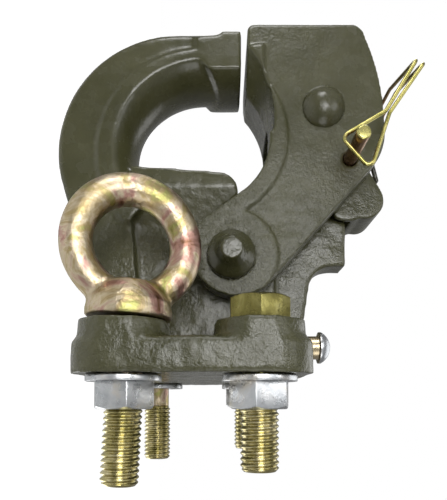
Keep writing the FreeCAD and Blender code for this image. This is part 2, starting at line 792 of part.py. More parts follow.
def jaw_pivot_pin():
    seat = S.jaw_half + S.jaw_rim
    corners = [
        (-seat - S.rivet_high, 0),
        (seat + S.dome_high, 0),
        (seat + S.dome_high / 2, S.rivet_base - 1),
        (seat, S.rivet_base),
        (seat, S.pivot_radius),
        (-seat, S.pivot_radius),
        (-seat, S.rivet_base),
        (-seat - 2.5, S.rivet_base - 0.3),
        (-seat - S.rivet_high * 0.6, S.rivet_base * 0.66),
        (-seat - S.rivet_high, S.rivet_top),
    ]
    pin = turned_body("jaw_pivot_pin", corners, {1: (S.rivet_base * 2, 1)})
    return place(pin, S.pivot_out, 0, S.pivot_up)


def latch_pivot_pin():
    seat = S.jaw_half
    curve = (S.dome_radius * S.dome_radius + S.dome_high * S.dome_high) / (2 * S.dome_high)
    corners = [
        (-seat - S.dome_high, 0),
        (seat + S.dome_high, 0),
        (seat, S.dome_radius),
        (seat, S.latch_pin_radius),
        (-seat, S.latch_pin_radius),
        (-seat, S.dome_radius),
    ]
    pin = turned_body("latch_pivot_pin", corners, {1: (curve, 1), 5: (curve, 1)})
    return place(pin, S.latch_out, 0, S.latch_up)


def safety_pin():
    soft = as_size(0.4)
    corners = [
        (-S.rod_reach, 0),
        (S.rod_reach, 0),
        (S.rod_reach, S.rod_radius - soft),
        (S.rod_reach - soft, S.rod_radius),
        (-S.rod_reach + soft, S.rod_radius),
        (-S.rod_reach, S.rod_radius - soft),
    ]
    return place(turned_body("safety_pin", corners), S.rod_out, 0, S.rod_up)


def latch():
    """Lock lever: a hub, an arm and a thumb lobe in one link, with toe walls beside the rib."""
    run_up = S.lobe_up - S.latch_up
    run_out = S.lobe_out - S.latch_out
    length = root(run_up * run_up + run_out * run_out)
    slim = (S.latch_hub - S.lobe_radius) / length
    wide = root(1 - slim * slim)
    along = (run_up / length, run_out / length)
    across = (-(run_out / length), run_up / length)

    def tangent(centre, radius, hand):
        return (
            centre[0] + radius * (along[0] * slim + hand * across[0] * wide),
            centre[1] + radius * (along[1] * slim + hand * across[1] * wide),
        )

    hub = (S.latch_up, S.latch_out)
    lobe = (S.lobe_up, S.lobe_out)
    corners = [
        tangent(hub, S.latch_hub, -1),
        tangent(lobe, S.lobe_radius, -1),
        tangent(lobe, S.lobe_radius, 1),
        tangent(hub, S.latch_hub, 1),
    ]
    link = slab("latch_link", outline(new_sketch("latch_shape", SIDE), corners), S.latch_half)
    ends = [
        cross_bar("latch_hub_round", S.latch_hub, S.latch_half, S.latch_out, S.latch_up),
        cross_bar("latch_lobe_round", S.lobe_radius, S.latch_half, S.lobe_out, S.lobe_up),
    ]
    link = joined("latch_link_whole", link, *ends)
    toe = [
        (S.lobe_up - 14, S.lobe_out + 5),
        (S.lobe_up - 12.5, S.toe_low + 1.5),
        (S.lobe_up - 7, S.toe_low),
        (S.lobe_up - 1, S.toe_low + 1.8),
        (S.lobe_up, S.lobe_out),
        (S.lobe_up - 8, S.lobe_out + 8),
    ]
    bow = as_size(9)
    toe_view = outline(new_sketch("toe_shape", SIDE), toe, {1: (bow, 1), 2: (bow, 1)})
    toes = slab("toe_slab", toe_view, S.latch_half)
    body = joined("latch_with_toes", link, toes)
    corner_up = S.rib_end - S.pivot_up
    corner_out = S.rib_top - S.pivot_out
    sweep = root(corner_up * corner_up + corner_out * corner_out) + S.toe_gap
    rib_cut = cross_bar("rib_room", sweep, S.rib_half + S.toe_gap, S.pivot_out, S.pivot_up)
    side_room = cut(
        "spring_rooms",
        cross_bar("spring_room_disc", S.spring_room, S.latch_half + 1, S.latch_out, S.latch_up),
        cross_bar("spring_room_core", S.spring_room + 1, S.hub_half, S.latch_out, S.latch_up),
    )
    bore_radius = S.latch_pin_radius + S.running_gap
    bore = cross_bar("latch_bore", bore_radius, S.latch_half + 1, S.latch_out, S.latch_up)
    body = cut("latch_cut", body, rib_cut, side_room, bore)
    return cut("latch", body, rod_notch())


def rod_notch():
    """The notch for the safety pin, open on the inner side, as a ring about the latch pivot."""
    run_up = S.rod_up - S.latch_up
    run_out = S.rod_out - S.latch_out
    path = root(run_up * run_up + run_out * run_out)
    slot = S.rod_radius + S.rod_slot
    ring = cut(
        "notch_ring",
        cross_bar("notch_outer", path + slot, S.latch_half + 1, S.latch_out, S.latch_up),
        cross_bar("notch_inner", path - slot, S.latch_half + 2, S.latch_out, S.latch_up),
    )
    corners = [
        (S.latch_up, S.latch_out),
        (S.rod_up, S.rod_out),
        (S.rod_up + run_up, S.rod_out + run_out),
        (S.latch_up - S.latch_out, S.rod_out + run_out),
        (S.latch_up - S.latch_out, S.latch_out),
    ]
    sector_view = outline(new_sketch("notch_sector_shape", SIDE), corners)
    sector = slab("notch_sector", sector_view, S.latch_half + 2)
    end = cross_bar("notch_end", slot, S.latch_half + 1, S.rod_out, S.rod_up)
    ahead = (run_out / path, -(run_up / path))
    across = (run_up / path, run_out / path)

    def beside(reach, half):
        return (
            S.rod_up + ahead[0] * reach + across[0] * half,
            S.rod_out + ahead[1] * reach + across[1] * half,
        )

    mouth = slot + S.notch_flare
    lead = [beside(0, -slot), beside(0, slot), beside(S.notch_deep, mouth), beside(S.notch_deep, -mouth)]
    lead_in = slab("notch_lead", outline(new_sketch("notch_lead_shape", SIDE), lead), S.latch_half + 2)
    return joined("rod_notch", common("notch_arc", ring, sector), end, lead_in)


# Wire pieces


def closed_route(points, bend):
    """Edges of a closed wire form: straight runs joined by arcs of one bend radius."""
    count = len(points)
    ends = []
    for i, corner in enumerate(points):
        before = (points[i - 1] - corner).normalize()
        after = (points[(i + 1) % count] - corner).normalize()
        half = before.getAngle(after) / 2
        back = bend / math.tan(half)
        middle = corner + (before + after).normalize() * (bend / math.sin(half) - bend)
        ends.append((corner + before * back, middle, corner + after * back))
    edges = []
    for i, (start, middle, end) in enumerate(ends):
        edges.append(Part.Arc(start, middle, end).toShape())
        edges.append(Part.LineSegment(end, ends[(i + 1) % count][0]).toShape())
    return edges


def wire_form(edges, radius):
    """Round wire along a route: a cylinder on each run and a piece of torus on each bend."""
    pieces = []
    for edge in edges:
        start = edge.valueAt(edge.FirstParameter)
        heading = edge.tangentAt(edge.FirstParameter)
        if edge.Curve.TypeId == "Part::GeomLine":
            pieces.append(Part.makeCylinder(radius, edge.Length, start, heading))
            continue
        section = Part.Face(Part.Wire([Part.Circle(start, heading, radius).toShape()]))
        turn = math.degrees(edge.LastParameter - edge.FirstParameter)
        pieces.append(section.revolve(edge.Curve.Center, edge.Curve.Axis, turn))
    return pieces[0].multiFuse(pieces[1:]).removeSplitter()


def pin_clip():
    """A closed wire form: a loop on each end of the safety pin, and two strands over the jaw's back."""
    wire = S.wire_radius.value
    loop_side = S.rod_reach.value - S.clip_inset.value
    tip_side = loop_side + wire * 0.7
    flat = S.clip_flat.value
    loop = [(-6.6, 0.7), (3.5, -10.8), (9.5, 9.6)]
    inner_over = S.back_up.value + S.clip_over.value - S.rod_up.value
    outer_over = inner_over + 2.5
    inner_tip, inner_top = (inner_over, 27.8), (inner_over, 35.0)
    outer_tip, outer_top = (outer_over, 26.6), (outer_over, 33.8)

    def at(spot, side):
        return Vector(-(S.rod_out.value + spot[1]), side, S.rod_up.value + spot[0])

    near = [at(spot, -loop_side) for spot in loop]
    far = [at(spot, loop_side) for spot in loop]
    apart = Vector(wire * 0.53, 0, wire * 0.94)
    outer = [at(outer_tip, -tip_side), at(outer_top, -flat), at(outer_top, flat), at(outer_tip, tip_side)]
    inner = [at(inner_tip, tip_side), at(inner_top, flat), at(inner_top, -flat), at(inner_tip, -tip_side)]
    points = [near[0], near[1], near[2] + apart] + outer + [far[2] + apart, far[1], far[0], far[2] - apart]
    points += inner + [near[2] - apart]
    clip = doc.addObject("Part::Feature", "pin_clip")
    clip.Shape = wire_form(closed_route(points, S.clip_bend.value), wire)
    return clip


def latch_spring():
    """Torsion spring: a close coil on each side of the latch hub, with legs over the lobe's top."""
    wire, mean = S.spring_wire.value, S.spring_mean.value
    across = Vector(0, 1, 0)
    coil_start = S.hub_half.value + S.running_gap.value * 5
    coil_long = S.spring_turns.value * 2 * wire
    leg_side = coil_start + coil_long / 2
    link = Vector(S.latch_out.value - S.lobe_out.value, 0, S.lobe_up.value - S.latch_up.value)
    along = Vector(link).normalize()
    away = Vector(-along.z, 0, along.x)

    def over_latch(reach, rise):
        edge = S.latch_hub.value + (S.lobe_radius.value - S.latch_hub.value) * reach / link.Length
        return along * reach + away * (edge + rise)

    knee = over_latch(S.knee_reach.value, S.knee_rise.value)
    end = over_latch(S.leg_reach.value, wire + S.leg_gap.value)
    start = away * mean
    pieces = []
    for hand in (-1, 1):
        first = Vector(0, min(hand * coil_start, hand * (coil_start + coil_long)), 0)
        coil = Part.makeCylinder(mean + wire, coil_long, first, across)
        pieces.append(coil.cut(Part.makeCylinder(mean - wire, coil_long, first, across)))
        shift = across * (hand * leg_side)
        for low, high in ((start + shift, knee + shift), (knee + shift, end + shift)):
            pieces.append(Part.makeCylinder(wire, (high - low).Length, low, high - low))
            pieces.append(Part.makeSphere(wire, high))
    pieces.append(Part.makeCylinder(wire, 2 * leg_side, end - across * leg_side, across))
    spring = doc.addObject("Part::Feature", "latch_spring")
    spring.Shape = pieces[0].multiFuse(pieces[1:])
    return place(spring, S.latch_out, 0, S.latch_up)


# Fasteners


def stud_profile(reach, head_radius, head_end):
    """Section of a stud from its tip to under its head: (radius, out)."""
    chamfer = S.stud_radius - S.shank_radius
    return [
        (0, -reach),
        (S.shank_radius, -reach),
        (S.stud_radius, -reach + chamfer * 2),
        (S.stud_radius, -S.thread_start),
        (S.shank_radius, -S.thread_start),
        (S.shank_radius, S.boss_out),
    ]


def eye_bolt(name):
    body = doc.addObject("PartDesign::Body", name + "_stud")
    collar_top = S.eye_out - S.eye_mean + S.eye_bar * 0.6
    throat = S.collar_radius - 4.4
    corners = stud_profile(S.eye_stud_reach, S.collar_radius, S.boss_out) + [
        (S.collar_radius - 0.6, S.boss_out),
        (S.collar_radius, S.boss_out + 0.6),
        (S.collar_radius, S.boss_out + S.collar_high),
        (throat, collar_top),
        (0, collar_top + 1),
    ]
    sketch = outline(new_sketch(name + "_section", SIDE, body), corners, {8: (as_size(14), -1)})
    spin = body.newObject("PartDesign::Revolution", name + "_turning")
    spin.Profile = sketch
    spin.ReferenceAxis = (sketch, ["V_Axis"])
    spin.Angle = 360
    ring = doc.addObject("Part::Torus", name + "_ring")
    bind(ring, "Radius1", S.eye_mean)
    bind(ring, "Radius2", S.eye_bar)
    place(ring, S.eye_out, 0, 0, Rotation(Vector(1, 0, 0), 90))
    return joined(name, body, ring)


def hex_bolt(name):
    body = doc.addObject("PartDesign::Body", name)
    corners = stud_profile(S.hex_stud_reach, S.head_flats / 2, S.boss_out)
    corners += [(0, S.boss_out)]
    sketch = outline(new_sketch(name + "_section", SIDE, body), corners)
    spin = body.newObject("PartDesign::Revolution", name + "_turning")
    spin.Profile = sketch
    spin.ReferenceAxis = (sketch, ["V_Axis"])
    spin.Angle = 360
    top = S.boss_out + S.head_high
    hexagon(body, name + "_head", S.head_flats, S.boss_out, top, "PartDesign::Pad")
    chamfer_cut(body, name + "_crown", S.head_flats, top, 1)
    return body


def hexagon(body, name, flats, start, end, kind):
    """A hexagonal pad from start to end along out, with a corner towards the side."""
    corner = flats / root(as_size(3))
    half = flats / 2
    corners = [
        (corner, 0),
        (corner / 2, half),
        (-corner / 2, half),
        (-corner, 0),
        (-corner / 2, -half),
        (corner / 2, -half),
    ]
    sketch = outline(new_sketch(name + "_shape", FACE, body), corners)
    bind(sketch, "AttachmentOffset.Base.z", -as_size(start))
    pad = body.newObject(kind, name)
    pad.Profile = sketch
    pad.Reversed = True
    bind(pad, "Length", as_size(end) - start)
    return pad


def chamfer_cut(body, name, flats, end, hand):
    """The turned chamfer on a hexagon's end: a groove with a 30 degree slope."""
    corner = flats / root(as_size(3))
    inner = flats / 2 * 0.96
    drop = (corner + 1 - inner) * 0.577
    corners = [
        (inner, end),
        (corner + 1, end - hand * drop),
        (corner + 1, end + hand * 1),
        (inner, end + hand * 1),
    ]
    if hand < 0:
        corners = [corners[0], corners[3], corners[2], corners[1]]
    sketch = outline(new_sketch(name + "_section", SIDE, body), corners)
    groove = body.newObject("PartDesign::Groove", name)
    groove.Profile = sketch
    groove.ReferenceAxis = (sketch, ["V_Axis"])
    groove.Angle = 360
    return groove


def ring_pad(body, name, outer, inner, start, end):
    sketch = new_sketch(name + "_shape", FACE, body)
    round_spot(sketch, (0, 0), outer)
    round_spot(sketch, (0, 0), inner)
    bind(sketch, "AttachmentOffset.Base.z", -as_size(start))
    pad = body.newObject("PartDesign::Pad", name)
    pad.Profile = sketch
    pad.Reversed = True
    bind(pad, "Length", as_size(end) - start)
    return pad


def washer(name):
    body = doc.addObject("PartDesign::Body", name)
    ring_pad(body, name + "_ring", S.washer_radius, S.stud_hole_radius, -S.washer_thick, as_size(0))
    return body


def nut(name):
    body = doc.addObject("PartDesign::Body", name)
    start = -S.washer_thick - S.nut_thick
    hexagon(body, name + "_hex", S.nut_flats, start, -S.washer_thick, "PartDesign::Pad")
    chamfer_cut(body, name + "_crown", S.nut_flats, start, -1)
    sketch = round_spot(new_sketch(name + "_bore_shape", FACE, body), (0, 0), S.shank_radius)
    bore = body.newObject("PartDesign::Pocket", name + "_bore")
    bore.Profile = sketch
    bore.Type = "ThroughAll"
    bore.Midplane = True
    return body


def side_screw():
    """Round-head screw in the flange's upper edge."""
    body = doc.addObject("PartDesign::Body", "side_screw")
    top = S.flange_high + S.screw_stand
    rise = S.screw_dome - 0.8
    curve = (S.screw_head * S.screw_head + rise * rise) / (2 * rise)
    corners = [
        (0, S.flange_high - S.screw_depth),
        (S.screw_neck, S.flange_high - S.screw_depth),
        (S.screw_neck, top),
        (S.screw_head, top),
        (S.screw_head, top + 0.8),
        (0, top + S.screw_dome),
    ]
    sketch = outline(new_sketch("side_screw_section", FACE, body), corners, {4: (curve, 1)})
    spin = body.newObject("PartDesign::Revolution", "side_screw_turning")
    spin.Profile = sketch
    spin.ReferenceAxis = (sketch, ["V_Axis"])
    spin.Angle = 360
    return place(body, S.screw_out, S.screw_side, 0)


def on_stud(piece, stud, turn=0):
    side, up = studs()[stud]
    return place(piece, 0, side, up, Rotation(Vector(1, 0, 0), turn))


parts = {
    "hook_body": hook_body(),
    "jaw": jaw(),
    "jaw_pivot_pin": jaw_pivot_pin(),
    "latch": latch(),
    "latch_pivot_pin": latch_pivot_pin(),
    "latch_spring": latch_spring(),
    "safety_pin": safety_pin(),
    "pin_clip": pin_clip(),
    "eye_bolt_right": on_stud(eye_bolt("eye_bolt_right"), "right_lower", -S.eye_turn.value),
    "eye_bolt_left": on_stud(eye_bolt("eye_bolt_left"), "left_lower"),
    "hex_bolt_right": on_stud(hex_bolt("hex_bolt_right"), "right_upper"),
    "hex_bolt_left": on_stud(hex_bolt("hex_bolt_left"), "left_upper"),
    "side_screw": side_screw(),
}
for stud in studs():
    parts[f"washer_{stud}"] = on_stud(washer(f"washer_{stud}"), stud)
for stud, turn in (("right_lower", -16), ("right_upper", 10), ("left_upper", 20)):
    parts[f"nut_{stud}"] = on_stud(nut(f"nut_{stud}"), stud, turn)

doc.recompute()
broken = [item.Name for item in doc.Objects if {"Invalid", "Error"} & set(item.State)]
if broken:
    raise RuntimeError(f"features that failed: {broken}")
for node, piece in parts.items():
    piece.Label = node
    shape = piece.Shape
    if shape.isNull() or not shape.isValid() or not shape.Solids:
        raise RuntimeError(f"{node}: not a valid solid")

os.makedirs("parts", exist_ok=True)
for node, piece in parts.items():
    piece.Shape.exportStep(f"parts/{node}.step")
    box = piece.Shape.BoundBox
    print(node, len(piece.Shape.Solids), round(piece.Shape.Volume), [round(v, 1) for v in (
        box.XMin, box.YMin, box.ZMin, box.XMax, box.YMax, box.ZMax)])
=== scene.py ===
# Pintle hitch: the finish of every surface, the threads, the floor, the lights and the camera.
# Metres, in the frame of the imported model: the studs point along +X, and Z is up as mounted.
import json
import math

import bmesh
import bpy
from mathutils import Matrix, Vector, noise

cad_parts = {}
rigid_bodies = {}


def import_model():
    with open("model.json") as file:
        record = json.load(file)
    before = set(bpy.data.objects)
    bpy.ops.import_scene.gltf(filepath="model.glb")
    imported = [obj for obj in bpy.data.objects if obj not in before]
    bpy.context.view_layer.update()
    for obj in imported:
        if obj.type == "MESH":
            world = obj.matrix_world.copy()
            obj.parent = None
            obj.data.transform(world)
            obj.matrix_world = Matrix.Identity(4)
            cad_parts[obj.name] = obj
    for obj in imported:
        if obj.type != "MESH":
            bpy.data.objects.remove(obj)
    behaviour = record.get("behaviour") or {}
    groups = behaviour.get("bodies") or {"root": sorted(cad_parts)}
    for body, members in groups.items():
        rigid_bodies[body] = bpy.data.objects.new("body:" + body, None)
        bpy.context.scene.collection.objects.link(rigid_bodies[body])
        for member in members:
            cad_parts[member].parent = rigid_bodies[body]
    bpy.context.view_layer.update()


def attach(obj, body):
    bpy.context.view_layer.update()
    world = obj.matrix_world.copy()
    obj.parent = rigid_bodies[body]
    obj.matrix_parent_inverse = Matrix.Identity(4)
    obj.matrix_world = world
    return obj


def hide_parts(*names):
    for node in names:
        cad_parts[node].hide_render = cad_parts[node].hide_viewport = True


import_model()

# The body that each node rides on; every other node rides on the root
BODY = {
    "jaw": "jaw",
    "latch_pivot_pin": "jaw",
    "latch": "latch",
    "latch_spring": "latch",
    "safety_pin": "safety_pin",
    "pin_clip": "safety_pin",
}

# Studs: where they stand, where the free thread starts, and each tip
STUD_SIDE = 0.04285
STUD_UP = 0.022225
THREAD_START = 0.0108
THREAD_LAP = 0.0003
EYE_TIP = 0.0362
HEX_TIP = 0.0312

# Thread: its form, its tip, and how finely it is turned
THREAD_CREST = 0.00633
THREAD_ROOT = 0.00560
THREAD_PITCH = 0.00195
CREST_SHARE = 0.10
FLANK_SHARE = 0.80
TIP_STEP = 0.0003
TIP_SLOPE = 0.9
THREAD_AROUND = 56
ROWS_PER_PITCH = 12
HEX_THREAD_TURN = 2.0

# Eye bolts: the collar's profile as (out, radius), and where the ring is blended into it
COLLAR = [(0.0182, 0.0138), (0.0186, 0.0141), (0.0236, 0.0139), (0.0262, 0.0122), (0.0302, 0.0088)]
COLLAR_AROUND = 48
BLEND_MIDDLE = -0.0275
BLEND_REACH = 0.0065
BLEND_ROUNDS = 40

# Lean of the near eye bolt in its hole
LEAN = math.radians(2.9)
LEAN_PIVOT = Vector((0.010, -STUD_SIDE, -STUD_UP))
LEAN_LIFT = Vector((-0.0005, 0, 0))

# Castings: smooth at the hook and the nose, and rough towards the flange
ROUGH_START = -0.085
ROUGH_LENGTH = 0.03
LEAST_ROUGH = 0.35
MORE_ROUGH = 0.9
RELIEF_SHIFT = Vector((3.1, 7.7, 1.3))

# Machined pieces: the width of their broken edges, and the angles in degrees
HEX_EDGE = 0.00035
NUT_EDGE = 0.0004
WASHER_EDGE = 0.0003
SCREW_EDGE = 0.0002
PIN_EDGE = 0.00015
FLAT_ANGLE = 1.5
EDGE_ANGLE = 25
SHARP_ANGLE = 40

# Colours
OLIVE_DARK = (0.036, 0.036, 0.014)
OLIVE_LIGHT = (0.060, 0.059, 0.027)
PIN_DARK = (0.031, 0.031, 0.012)
PIN_LIGHT = (0.048, 0.047, 0.021)
SPRING_DARK = (0.022, 0.021, 0.014)
SPRING_LIGHT = (0.034, 0.032, 0.020)
GOLD = (0.38, 0.29, 0.15)
PALE_GOLD = (0.55, 0.47, 0.33)
PINK = (0.42, 0.25, 0.21)
BROWN = (0.17, 0.085, 0.045)
LIGHT_BROWN = (0.34, 0.22, 0.13)
GREEN = (0.32, 0.32, 0.11)
HEX_DARK = (0.08, 0.07, 0.02)
HEX_GREEN = (0.19, 0.17, 0.055)
HEX_LIGHT = (0.36, 0.33, 0.14)
THREAD_DARK = (0.22, 0.20, 0.07)
THREAD_YELLOW = (0.40, 0.35, 0.16)
THREAD_LIGHT = (0.62, 0.56, 0.36)
BRIGHT_YELLOW = (0.60, 0.54, 0.20)
CLIP_YELLOW = (0.28, 0.26, 0.07)
CLIP_LIGHT = (0.50, 0.44, 0.17)
# The clip's far strands: painted shade, a darker red-brown over the plating's red tint
SHADED_CLIP_RED = (0.26, 0.09, 0.06)
SHADED_CLIP_COPPER = (0.40, 0.19, 0.11)
SILVER = (0.53, 0.54, 0.55)
WARM_SILVER = (0.58, 0.55, 0.49)
BLUE_SILVER = (0.36, 0.38, 0.40)
FLOOR_GREY = (0.88, 0.88, 0.88)
FLOOR_WHITE = (0.93, 0.93, 0.92)


# Materials


def link(tree, start, end):
    tree.links.new(start, end)


def feed(tree, value, socket):
    """Give a socket a plain value, or link it to another."""
    if isinstance(value, (int, float)):
        socket.default_value = value
    elif isinstance(value, tuple):
        socket.default_value = (*value, 1)
    else:
        link(tree, value, socket)


def add(tree, kind, **values):
    node = tree.nodes.new(kind)
    for key, value in values.items():
        if key in node.inputs:
            node.inputs[key].default_value = value
        else:
            setattr(node, key, value)
    return node


def noise_at(tree, where, scale, detail=3.0, roughness=0.5, distortion=0.0):
    settings = {"Scale": scale, "Detail": detail, "Roughness": roughness, "Distortion": distortion}
    node = add(tree, "ShaderNodeTexNoise", **settings)
    link(tree, where, node.inputs["Vector"])
    return node.outputs["Fac"]


def spread(tree, value, low, high, start=0.3, end=0.7):
    """Map start to end onto low to high."""
    node = add(tree, "ShaderNodeMapRange")
    node.inputs["From Min"].default_value = start
    node.inputs["From Max"].default_value = end
    node.inputs["To Min"].default_value = low
    node.inputs["To Max"].default_value = high
    link(tree, value, node.inputs["Value"])
    return node.outputs["Result"]


def fade(first, last):
    return [(0.0, first), (1.0, last)]


def ramp(tree, value, stops):
    node = add(tree, "ShaderNodeValToRGB")
    bar = node.color_ramp.elements
    while len(bar) < len(stops):
        bar.new(0.5)
    for element, (place, colour) in zip(bar, stops):
        element.position = place
        element.color = (*colour, 1)
    link(tree, value, node.inputs["Fac"])
    return node.outputs["Color"]


def math_of(tree, operation, first, second):
    node = add(tree, "ShaderNodeMath", operation=operation)
    for value, socket in zip((first, second), node.inputs):
        feed(tree, value, socket)
    return node.outputs["Value"]


def mixed(tree, factor, first, second):
    node = add(tree, "ShaderNodeMix", data_type="RGBA")
    link(tree, factor, node.inputs["Factor"])
    feed(tree, first, node.inputs["A"])
    feed(tree, second, node.inputs["B"])
    return node.outputs["Result"]


def along_axis(tree, where, axis):
    node = add(tree, "ShaderNodeSeparateXYZ")
    link(tree, where, node.inputs["Vector"])
    return node.outputs[axis]


def bump(tree, shader, height, strength, distance):
    node = add(tree, "ShaderNodeBump", Strength=strength, Distance=distance)
    link(tree, height, node.inputs["Height"])
    link(tree, node.outputs["Normal"], shader.inputs["Normal"])


def new_material(name):
    material = bpy.data.materials.new(name)
    material.use_nodes = True
    tree = material.node_tree
    shader = tree.nodes["Principled BSDF"]
    where = tree.nodes.new("ShaderNodeTexCoord").outputs["Object"]
    return material, tree, shader, where


def paint(name, dark, light, grit, rough_zone=None):
    """Glossy olive paint over a casting, with orange peel, a gritty skin and light specks painted in as
    glints.
    """
    material, tree, shader, where = new_material(name)
    tone = noise_at(tree, where, scale=42, detail=4, roughness=0.6)
    speck = noise_at(tree, where, scale=1500, detail=2, roughness=0.6)
    blotch = ramp(tree, spread(tree, tone, 0, 1), fade(dark, light))
    # Light specks in the base colour stand in for glints: painted highlights
    glint_colour = tuple(min(1, channel * 1.9) for channel in light)
    glinted_paint = mixed(tree, spread(tree, speck, 0, 0.35, start=0.62, end=0.78), blotch, glint_colour)
    link(tree, glinted_paint, shader.inputs["Base Color"])
    gloss = noise_at(tree, where, scale=180, detail=3)
    link(tree, spread(tree, gloss, 0.17, 0.33), shader.inputs["Roughness"])
    shader.inputs["Specular IOR Level"].default_value = 0.42
    shader.inputs["Coat Weight"].default_value = 0.12
    shader.inputs["Coat Roughness"].default_value = 0.12
    peel = noise_at(tree, where, scale=330, detail=2, distortion=0.6)
    grain = noise_at(tree, where, scale=900, detail=3, roughness=0.65)
    height = math_of(tree, "ADD", peel, math_of(tree, "MULTIPLY", grain, grit))
    if rough_zone is not None:
        rougher = spread(tree, along_axis(tree, where, "X"), 0.22, 1.0, *rough_zone)
        height = math_of(tree, "MULTIPLY", height, rougher)
    bump(tree, shader, height, strength=0.6, distance=0.00055)
    return material


def zinc(name, stops, rough=(0.20, 0.38), scale=60, scratches=0.4):
    """Zinc plating whose passivation colour drifts over the surface."""
    material, tree, shader, where = new_material(name)
    drift = noise_at(tree, where, scale, detail=4, roughness=0.62, distortion=1.4)
    tint = ramp(tree, spread(tree, drift, 0, 1, start=0.28, end=0.72), stops)
    link(tree, tint, shader.inputs["Base Color"])
    shader.inputs["Metallic"].default_value = 1.0
    gloss = noise_at(tree, where, scale=320, detail=4)
    link(tree, spread(tree, gloss, *rough), shader.inputs["Roughness"])
    marks = noise_at(tree, where, scale=700, detail=4, roughness=0.6)
    bump(tree, shader, marks, strength=scratches, distance=0.00025)
    return material


def two_zones(name, axis, start, end, first, second):
    """Plating whose colour changes along one axis of the part; the clip's far zone is painted shade over a
    red tint. Each zone is (dark, light).
    """
    material, tree, shader, where = new_material(name)
    drift = spread(tree, noise_at(tree, where, scale=90, detail=3, roughness=0.6, distortion=1.0), 0, 1)
    near = ramp(tree, drift, fade(*first))
    far = ramp(tree, drift, fade(*second))
    zone = spread(tree, along_axis(tree, where, axis), 0, 1, start, end)
    link(tree, mixed(tree, zone, near, far), shader.inputs["Base Color"])
    shader.inputs["Metallic"].default_value = 1.0
    gloss = noise_at(tree, where, scale=400, detail=3)
    link(tree, spread(tree, gloss, 0.20, 0.36), shader.inputs["Roughness"])
    marks = noise_at(tree, where, scale=600, detail=2)
    bump(tree, shader, marks, strength=0.15, distance=0.0001)
    return material


EYE_STOPS = [(0.0, BROWN), (0.18, GREEN), (0.36, GOLD), (0.54, PALE_GOLD), (0.74, PINK), (1.0, BROWN)]
HEX_STOPS = [(0.0, HEX_DARK), (0.5, HEX_GREEN), (1.0, HEX_LIGHT)]
THREAD_STOPS = [(0.0, THREAD_DARK), (0.45, THREAD_YELLOW), (1.0, THREAD_LIGHT)]
SILVER_STOPS = [(0.0, BLUE_SILVER), (0.6, SILVER), (1.0, WARM_SILVER)]

materials = {
    "body": paint("olive_body", OLIVE_DARK, OLIVE_LIGHT, 0.8, (-0.080, -0.045)),
    "jaw": paint("olive_jaw", OLIVE_DARK, OLIVE_LIGHT, 1.9, (-0.088, -0.055)),
    "pin": paint("olive_pins", PIN_DARK, PIN_LIGHT, 0.2, (-0.2, -0.02)),
    "spring": paint("olive_spring", SPRING_DARK, SPRING_LIGHT, 0.2),
    "eye": zinc("yellow_zinc_eye", EYE_STOPS, rough=(0.28, 0.46), scale=70, scratches=0.9),
    "hex": zinc("green_zinc_hex", HEX_STOPS),
    "thread": zinc("yellow_zinc_thread", THREAD_STOPS, rough=(0.16, 0.30), scale=90, scratches=0.25),
    "rod": two_zones(
        "yellow_zinc_pin", "Y", -0.0408, -0.0403, (GREEN, BRIGHT_YELLOW), (BROWN, LIGHT_BROWN)
    ),
    "silver": zinc("white_zinc", SILVER_STOPS, rough=(0.22, 0.36)),
    # The clip's far strands get painted shade, darker red-brown over the plating's red tint
    "clip": two_zones(
        "yellow_zinc_clip_shaded_far", "Y", -0.030, 0.012, (CLIP_YELLOW, CLIP_LIGHT), (SHADED_CLIP_RED, SHADED_CLIP_COPPER)
    ),
    "screw": two_zones("zinc_screw", "Z", 0.0420, 0.0426, (GOLD, PALE_GOLD), (BLUE_SILVER, SILVER)),
}


# Meshes


def place(name, data):
    """Put a mesh, lamp or camera in the scene."""
    item = bpy.data.objects.new(name, data)
    bpy.context.scene.collection.objects.link(item)
    return item


def new_piece(name, mesh, node, material):
    piece = place(name, mesh)
    mesh.materials.clear()
    mesh.materials.append(materials[material])
    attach(piece, BODY.get(node, "root"))
    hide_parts(node)


def welded(node):
    """A copy of a node's mesh with its doubled points joined."""
    bm = bmesh.new()
    bm.from_mesh(bpy.data.objects[node].data)
    bmesh.ops.remove_doubles(bm, verts=bm.verts, dist=1e-6)
    return bm


def cut_at(bm, along):
    """Keep what lies below a given X, and close the cut."""
    geometry = bm.verts[:] + bm.edges[:] + bm.faces[:]
    bmesh.ops.bisect_plane(
        bm, geom=geometry, plane_co=(along, 0, 0), plane_no=(1, 0, 0), clear_outer=True, dist=1e-7
    )
    bmesh.ops.holes_fill(bm, edges=[edge for edge in bm.edges if edge.is_boundary], sides=0)


def to_mesh(bm, name):
    mesh = bpy.data.meshes.new(name)
    bm.to_mesh(mesh)
    bm.free()
    return mesh


def modified(mesh, steps, weight_of=None):
    """Run modifiers over a mesh. Steps are (kind, settings), and weights go to the group zone."""
    helper = place("helper", mesh)
    if weight_of is not None:
        group = helper.vertex_groups.new(name="zone")
        for vertex in mesh.vertices:
            weight = weight_of(vertex.co)
            if weight > 0:
                group.add([vertex.index], weight, "REPLACE")
    for kind, settings in steps:
        modifier = helper.modifiers.new(kind, kind)
        for key, value in settings.items():
            setattr(modifier, key, value)
    graph = bpy.context.evaluated_depsgraph_get()
    result = bpy.data.meshes.new_from_object(helper.evaluated_get(graph))
    bpy.data.objects.remove(helper)
    return result


def soft_copy(bm, name, voxel, rounds):
    """A cast or forged surface: every edge worn round."""
    steps = [
        ("REMESH", {"mode": "VOXEL", "voxel_size": voxel}),
        ("SMOOTH", {"factor": 0.5, "iterations": rounds}),
    ]
    return modified(to_mesh(bm, name), steps)


def shade(mesh, angle=None):
    mesh.polygons.foreach_set("use_smooth", [True] * len(mesh.polygons))
    if angle is not None:
        mesh.set_sharp_from_angle(angle=math.radians(angle))
    mesh.update()


